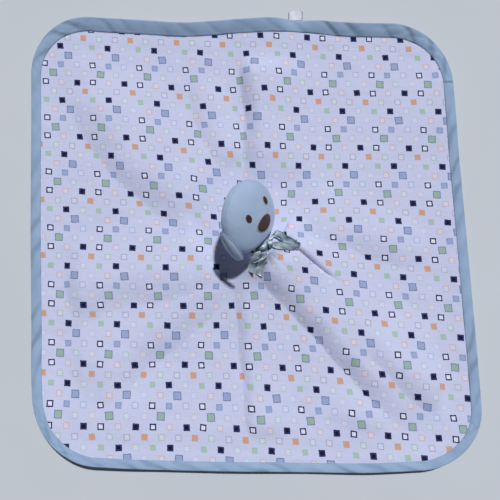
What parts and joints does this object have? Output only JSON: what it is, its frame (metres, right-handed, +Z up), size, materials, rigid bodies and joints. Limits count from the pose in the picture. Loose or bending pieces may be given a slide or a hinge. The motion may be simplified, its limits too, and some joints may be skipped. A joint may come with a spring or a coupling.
{
  "type": "comfort blanket lovey",
  "caption": "Square printed baby blanket with a bound edge, gathered at its middle round the neck of a small floppy-eared plush puppy's head, with a satin bow under its chin and a side label",
  "frame": {"origin": "middle of the bounding box, on the surface that the blanket lies on", "axes": "X runs right and Y runs up the blanket as it lies face up with its label at the top edge, Z is up out of the surface"},
  "size_m": [0.4074, 0.4217, 0.068],
  "materials": {
    "printed_jersey": "matt cotton jersey with a small printed pattern",
    "backing_velour": "short matt pile",
    "binding_tape": "matt knitted tape",
    "label_satin": "white satin tape",
    "head_velour": "short matt pile",
    "ribbon_satin": "shiny satin ribbon",
    "stitch_thread": "satin stitch",
    "fibre_fill": "loose polyester fibre"
  },
  "bodies": {
    "blanket": {"printed_cloth": "printed_jersey", "backing_cloth": "backing_velour", "edge_binding": "binding_tape", "ribbon_band": "ribbon_satin", "bow_knot": "ribbon_satin", "bow_loop_right": "ribbon_satin", "bow_loop_left": "ribbon_satin", "bow_tail_right": "ribbon_satin", "bow_tail_left": "ribbon_satin"},
    "neck": {"neck_sleeve": "head_velour", "neck_stuffing": "fibre_fill"},
    "head": {"head_stuffing": "fibre_fill", "head_front_cover": "head_velour", "head_back_cover": "head_velour", "right_eye": "stitch_thread", "left_eye": "stitch_thread", "nose": "stitch_thread"},
    "right_ear": {"right_ear_outer": "head_velour", "right_ear_inner": "head_velour"},
    "left_ear": {"left_ear_outer": "head_velour", "left_ear_inner": "head_velour"},
    "label": {"care_label": "label_satin"}
  },
  "joints": [
    {"name": "head_turn", "type": "hinge", "parent": "blanket", "child": "neck", "pos_m": [0.00942, -0.0114, 0.02562], "axis": [-0.3276, 0.7007, 0.6338], "range_deg": [-30, 30], "stiffness_Nm_per_rad": 0.05},
    {"name": "head_nod", "type": "hinge", "parent": "neck", "child": "head", "pos_m": [0.00942, -0.0114, 0.02562], "axis": [-0.5257, -0.6926, 0.4939], "range_deg": [-8, 10], "stiffness_Nm_per_rad": 0.05},
    {"name": "right_ear_flap", "type": "hinge", "parent": "head", "child": "right_ear", "pos_m": [-0.02085, -0.00917, 0.05933], "axis": [-0.4888, 0.2, -0.8492], "range_deg": [0, 70], "stiffness_Nm_per_rad": 0.002},
    {"name": "left_ear_flap", "type": "hinge", "parent": "head", "child": "left_ear", "pos_m": [0.00641, 0.03371, 0.02966], "axis": [0.3613, -0.5356, -0.7633], "range_deg": [0, 30], "stiffness_Nm_per_rad": 0.002},
    {"name": "label_flap", "type": "hinge", "parent": "blanket", "child": "label", "pos_m": [0.04464, 0.20129, 0.0016], "axis": [0.9998, -0.0208, 0], "range_deg": [0, 90], "stiffness_Nm_per_rad": 0.0005}
  ]
}
